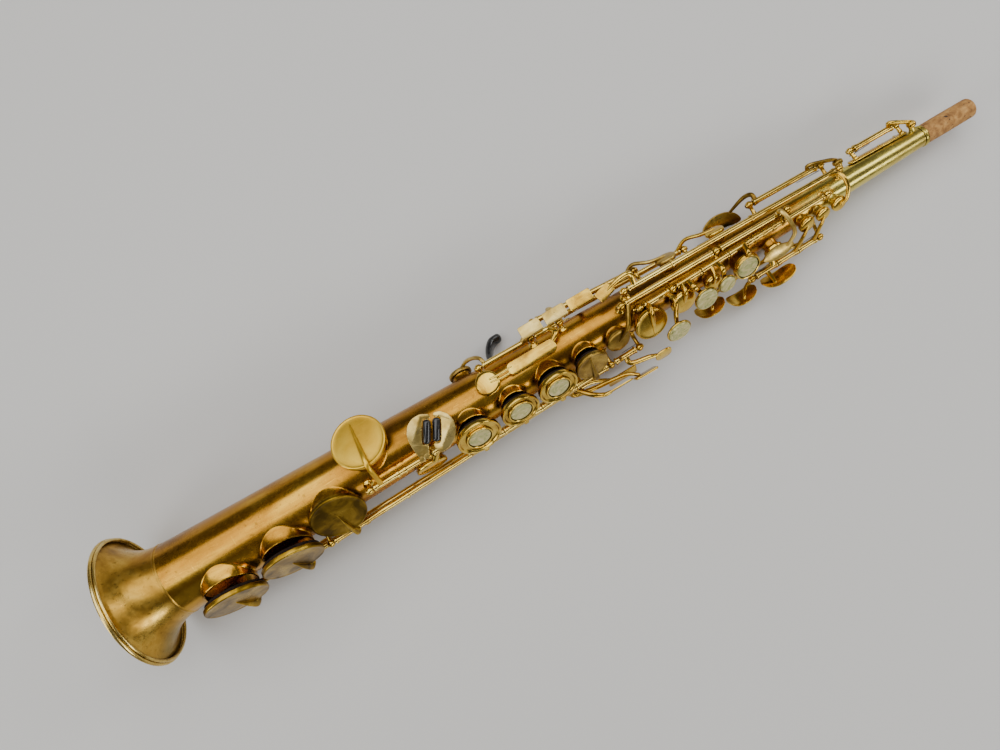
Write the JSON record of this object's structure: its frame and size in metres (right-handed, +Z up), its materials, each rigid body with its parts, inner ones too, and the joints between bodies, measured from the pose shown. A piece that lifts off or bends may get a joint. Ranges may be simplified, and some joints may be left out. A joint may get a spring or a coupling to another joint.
{
  "type": "soprano saxophone",
  "caption": "Straight one-piece conical brass woodwind with a flared bell, hinged sprung keys on long rods, pearl finger touches, palm and side keys, and a corked neck end.",
  "frame": {"origin": "under the middle of the instrument, level with the lowest point of the bell rim", "axes": "+X along the tube from the bell to the mouthpiece end, +Z up, away from the side that the thumbs are on"},
  "size_m": [0.6356, 0.089, 0.089],
  "materials": {
    "aged_brass": "aged lacquer, semi-gloss",
    "tarnished_brass": "dark tarnish with rubbed edges",
    "bright_brass": "satin polish",
    "nickel_plate": "worn nickel plate",
    "steel": "ground steel rod",
    "mother_of_pearl": "polished shell",
    "cork": "pressed cork",
    "black_plastic": "glossy black",
    "pad_leather": "dark leather"
  },
  "bodies": {
    "instrument": {"bell": "aged_brass", "body_tube": "aged_brass", "c_e_flat_rod": "steel", "fork_trill_rod": "steel", "g_sharp_rod": "steel", "high_e_rod": "steel", "low_b_flat_rod": "steel", "low_b_rod": "steel", "low_c_sharp_rod": "steel", "lower_stack_rod": "steel", "neck_cork": "cork", "neck_ferrule": "bright_brass", "neck_octave_rod": "steel", "octave_rod": "steel", "octave_saddle": "aged_brass", "palm_rod": "steel", "side_b_flat_rod": "steel", "side_c_rod": "steel", "strap_ring": "bright_brass", "thumb_hook": "black_plastic", "thumb_rest": "black_plastic", "upper_stack_rod": "steel"},
    "low_b_flat_key": {"low_b_flat_key": "tarnished_brass", "low_b_flat_pad": "pad_leather"},
    "low_b_key": {"low_b_key": "tarnished_brass", "low_b_pad": "pad_leather"},
    "low_c_sharp_key": {"low_c_sharp_key": "tarnished_brass"},
    "low_c_key": {"low_c_key": "bright_brass"},
    "low_e_flat_key": {"low_e_flat_key": "bright_brass"},
    "d_key": {"d_key": "aged_brass", "d_pearl": "mother_of_pearl"},
    "e_key": {"e_key": "aged_brass", "e_pearl": "mother_of_pearl"},
    "f_key": {"f_key": "aged_brass", "f_pearl": "mother_of_pearl"},
    "f_sharp_key": {"f_sharp_key": "aged_brass"},
    "g_sharp_lever": {"g_sharp_lever": "aged_brass"},
    "g_sharp_key": {"g_sharp_key": "aged_brass"},
    "g_key": {"g_key": "aged_brass", "g_pearl": "mother_of_pearl"},
    "a_key": {"a_key": "aged_brass", "a_pearl": "mother_of_pearl"},
    "bis_key": {"bis_key": "aged_brass", "bis_pearl": "mother_of_pearl"},
    "b_key": {"b_key": "aged_brass", "b_pearl": "mother_of_pearl"},
    "front_f_key": {"front_f_key": "nickel_plate"},
    "fork_e_flat_key": {"fork_e_flat_key": "aged_brass"},
    "e_flat_trill_key": {"e_flat_trill_key": "nickel_plate"},
    "side_b_flat_key": {"side_b_flat_key": "nickel_plate"},
    "side_c_key": {"side_c_key": "aged_brass"},
    "high_e_key": {"high_e_key": "aged_brass"},
    "palm_d_key": {"palm_d_key": "aged_brass"},
    "palm_e_flat_key": {"palm_e_flat_key": "aged_brass"},
    "palm_f_key": {"palm_f_key": "aged_brass"},
    "octave_thumb_key": {"octave_thumb_key": "aged_brass"},
    "neck_octave_key": {"neck_octave_key": "aged_brass"},
    "low_c_roller": {"low_c_roller": "black_plastic"},
    "low_e_flat_roller": {"low_e_flat_roller": "black_plastic"}
  },
  "joints": [
    {"name": "low_b_flat_key_hinge", "type": "hinge", "parent": "instrument", "child": "low_b_flat_key", "pos_m": [-0.13375, -0.02829, 0.02863], "axis": [0.9996, 0.0204, -0.0202], "range_deg": [-8, 0], "stiffness_Nm_per_rad": 0.04, "springref_deg": 8.59},
    {"name": "low_b_key_hinge", "type": "hinge", "parent": "instrument", "child": "low_b_key", "pos_m": [-0.11575, -0.02943, 0.03489], "axis": [0.9991, 0.0248, -0.0337], "range_deg": [-8.5, 0], "stiffness_Nm_per_rad": 0.04, "springref_deg": 8.59},
    {"name": "low_c_sharp_key_hinge", "type": "hinge", "parent": "instrument", "child": "low_c_sharp_key", "pos_m": [-0.09775, -0.02905, 0.04102], "axis": [0.9983, 0.0256, -0.0523], "range_deg": [0, 7], "stiffness_Nm_per_rad": 0.04, "springref_deg": -8.59},
    {"name": "low_c_key_hinge", "type": "hinge", "parent": "instrument", "child": "low_c_key", "pos_m": [-0.13075, -0.01414, 0.06628], "axis": [0.9999, 0.0055, -0.0085], "range_deg": [-9, 0], "stiffness_Nm_per_rad": 0.04, "springref_deg": 8.59},
    {"name": "low_e_flat_key_hinge", "type": "hinge", "parent": "instrument", "child": "low_e_flat_key", "pos_m": [-0.10325, -0.01399, 0.06604], "axis": [-0.9999, -0.0055, 0.0085], "range_deg": [0, 3], "stiffness_Nm_per_rad": 0.04, "springref_deg": -8.59},
    {"name": "d_key_hinge", "type": "hinge", "parent": "instrument", "child": "d_key", "pos_m": [-0.073, -0.02706, 0.04544], "axis": [0.9998, 0.0203, -0.0007], "range_deg": [-8, 0], "stiffness_Nm_per_rad": 0.04, "springref_deg": 8.59},
    {"name": "e_key_hinge", "type": "hinge", "parent": "instrument", "child": "e_key", "pos_m": [-0.0475, -0.02655, 0.04543], "axis": [0.9998, 0.0203, -0.0007], "range_deg": [-8, 0], "stiffness_Nm_per_rad": 0.04, "springref_deg": 8.59},
    {"name": "f_key_hinge", "type": "hinge", "parent": "instrument", "child": "f_key", "pos_m": [-0.02, -0.02599, 0.04541], "axis": [0.9998, 0.0203, -0.0007], "range_deg": [-8, 0], "stiffness_Nm_per_rad": 0.04, "springref_deg": 8.59},
    {"name": "f_sharp_key_hinge", "type": "hinge", "parent": "instrument", "child": "f_sharp_key", "pos_m": [0.00525, -0.02548, 0.04539], "axis": [0.9998, 0.0203, -0.0007], "range_deg": [-8, 0], "stiffness_Nm_per_rad": 0.04, "springref_deg": 8.59},
    {"name": "g_sharp_lever_hinge", "type": "hinge", "parent": "instrument", "child": "g_sharp_lever", "pos_m": [0.03125, -0.02495, 0.04537], "axis": [0.9998, 0.0203, -0.0007], "range_deg": [0, 5], "stiffness_Nm_per_rad": 0.0051, "springref_deg": -8.59},
    {"name": "g_sharp_key_hinge", "type": "hinge", "parent": "instrument", "child": "g_sharp_key", "pos_m": [0.07675, 0.00421, 0.06276], "axis": [-0.9995, 0.007, 0.0302], "range_deg": [0, 5], "stiffness_Nm_per_rad": 0.04, "springref_deg": -8.59},
    {"name": "g_key_hinge", "type": "hinge", "parent": "instrument", "child": "g_key", "pos_m": [0.06325, -0.00285, 0.06332], "axis": [-0.9996, -0.0132, 0.0245], "range_deg": [0, 6], "stiffness_Nm_per_rad": 0.04, "springref_deg": -8.59},
    {"name": "a_key_hinge", "type": "hinge", "parent": "instrument", "child": "a_key", "pos_m": [0.0875, -0.00253, 0.06273], "axis": [-0.9996, -0.0132, 0.0245], "range_deg": [0, 6], "stiffness_Nm_per_rad": 0.034, "springref_deg": -8.59},
    {"name": "bis_key_hinge", "type": "hinge", "parent": "instrument", "child": "bis_key", "pos_m": [0.1075, -0.00226, 0.06223], "axis": [-0.9996, -0.0132, 0.0245], "range_deg": [0, 6], "stiffness_Nm_per_rad": 0.016, "springref_deg": -8.59},
    {"name": "b_key_hinge", "type": "hinge", "parent": "instrument", "child": "b_key", "pos_m": [0.15475, -0.00164, 0.06108], "axis": [-0.9996, -0.0132, 0.0245], "range_deg": [0, 6], "stiffness_Nm_per_rad": 0.019, "springref_deg": -8.59},
    {"name": "front_f_key_hinge", "type": "hinge", "parent": "instrument", "child": "front_f_key", "pos_m": [0.13925, 0.00378, 0.06087], "axis": [-0.9995, 0.007, 0.0302], "range_deg": [0, 4], "stiffness_Nm_per_rad": 0.016, "springref_deg": -8.59},
    {"name": "fork_e_flat_key_hinge", "type": "hinge", "parent": "instrument", "child": "fork_e_flat_key", "pos_m": [-0.00725, 0.01596, 0.05789], "axis": [-0.9998, 0.0146, 0.0122], "range_deg": [0, 4], "stiffness_Nm_per_rad": 0.037, "springref_deg": -8.59},
    {"name": "e_flat_trill_key_hinge", "type": "hinge", "parent": "instrument", "child": "e_flat_trill_key", "pos_m": [-0.03675, 0.01639, 0.05826], "axis": [0.9998, -0.0146, -0.0122], "range_deg": [0, 5], "stiffness_Nm_per_rad": 0.04, "springref_deg": -8.59},
    {"name": "side_b_flat_key_hinge", "type": "hinge", "parent": "instrument", "child": "side_b_flat_key", "pos_m": [0.02825, 0.02279, 0.04041], "axis": [-0.9979, 0.0603, 0.0248], "range_deg": [0, 5], "stiffness_Nm_per_rad": 0.028, "springref_deg": -8.59},
    {"name": "side_c_key_hinge", "type": "hinge", "parent": "instrument", "child": "side_c_key", "pos_m": [0.05625, 0.01758, 0.03378], "axis": [-0.9993, 0.0363, -0.0096], "range_deg": [0, 5], "stiffness_Nm_per_rad": 0.04, "springref_deg": -8.59},
    {"name": "high_e_key_hinge", "type": "hinge", "parent": "instrument", "child": "high_e_key", "pos_m": [0.12975, 0.01032, 0.0587], "axis": [-0.9996, 0.0165, 0.0228], "range_deg": [0, 5], "stiffness_Nm_per_rad": 0.022, "springref_deg": -8.59},
    {"name": "palm_d_key_hinge", "type": "hinge", "parent": "instrument", "child": "palm_d_key", "pos_m": [0.1435, -0.02438, 0.03932], "axis": [0.9998, 0.0202, 0.0043], "range_deg": [0, 5], "stiffness_Nm_per_rad": 0.02, "springref_deg": -8.59},
    {"name": "palm_e_flat_key_hinge", "type": "hinge", "parent": "instrument", "child": "palm_e_flat_key", "pos_m": [0.16025, -0.02404, 0.03939], "axis": [0.9998, 0.0202, 0.0043], "range_deg": [0, 5], "stiffness_Nm_per_rad": 0.029, "springref_deg": -8.59},
    {"name": "palm_f_key_hinge", "type": "hinge", "parent": "instrument", "child": "palm_f_key", "pos_m": [0.176, -0.02372, 0.03946], "axis": [0.9998, 0.0202, 0.0043], "range_deg": [0, 5], "stiffness_Nm_per_rad": 0.03, "springref_deg": -8.59},
    {"name": "octave_thumb_key_hinge", "type": "hinge", "parent": "instrument", "child": "octave_thumb_key", "pos_m": [0.1815, 0.01819, 0.04387], "axis": [-0.9998, 0.0203, -0.0007], "range_deg": [0, 6], "stiffness_Nm_per_rad": 0.024, "springref_deg": -8.59},
    {"name": "neck_octave_key_hinge", "type": "hinge", "parent": "instrument", "child": "neck_octave_key", "pos_m": [0.24825, 0.01527, 0.04611], "axis": [-0.9999, 0.0124, 0.0013], "range_deg": [0, 6], "stiffness_Nm_per_rad": 0.00093, "springref_deg": -8.59},
    {"name": "low_c_roller_spin", "type": "hinge", "parent": "low_c_key", "child": "low_c_roller", "pos_m": [-0.10282, -0.00075, 0.07569], "axis": [0.5012, 0.8547, 0.135], "continuous": true},
    {"name": "low_e_flat_roller_spin", "type": "hinge", "parent": "low_e_flat_key", "child": "low_e_flat_roller", "pos_m": [-0.09715, -0.0027, 0.0735], "axis": [0.5, 0.866, 0], "continuous": true}
  ],
  "couplings": [
    {"joint": "f_sharp_key_hinge", "follows": "f_key_hinge", "ratio": 1},
    {"joint": "g_sharp_key_hinge", "follows": "g_sharp_lever_hinge", "ratio": 1},
    {"joint": "palm_f_key_hinge", "follows": "front_f_key_hinge", "ratio": 1.25},
    {"joint": "neck_octave_key_hinge", "follows": "octave_thumb_key_hinge", "ratio": 1}
  ]
}
